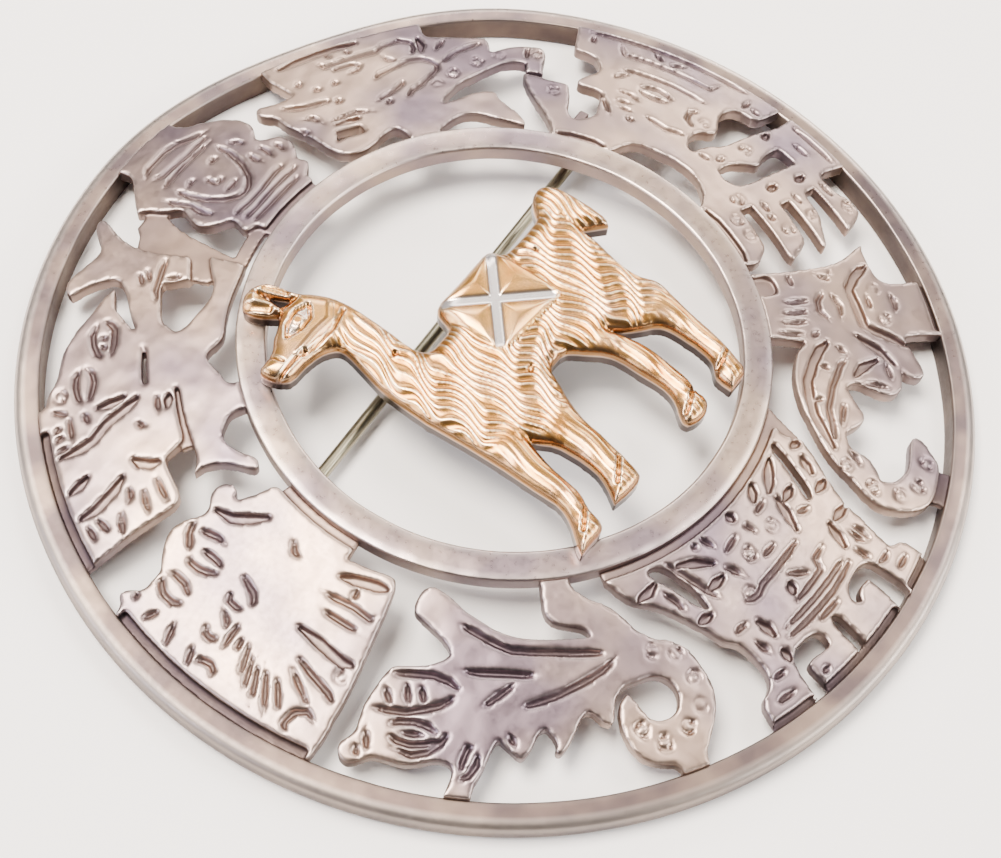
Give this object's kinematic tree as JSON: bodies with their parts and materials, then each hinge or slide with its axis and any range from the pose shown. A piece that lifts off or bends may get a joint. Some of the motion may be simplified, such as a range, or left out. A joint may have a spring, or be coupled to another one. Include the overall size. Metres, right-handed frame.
{
  "type": "silver brooch",
  "caption": "Round pierced silver brooch: chased animal and face figures between a rim and an inner ring, a gilt llama in the middle, and a hinged pin behind.",
  "frame": {"origin": "centre of the round frame, on the plane that the rim's back rests on", "axes": "+Z out of the front face, +Y towards the llama's head, +X towards its tail"},
  "size_m": [0.06, 0.06, 0.0057],
  "materials": {
    "silver": "worn satin silver with dark tarnish in the recesses",
    "gilt": "polished gilding over silver",
    "pin_wire": "dull drawn wire"
  },
  "bodies": {
    "brooch": {"openwork": "silver", "llama": "gilt", "hinge_rivet": "pin_wire"},
    "pin": {"pin_stem": "pin_wire"}
  },
  "joints": [
    {"name": "pin_swing", "type": "hinge", "parent": "brooch", "child": "pin", "pos_m": [0.0182, 0.00458, 0.001], "axis": [0, -1, 0], "range_deg": [0, 75]}
  ]
}
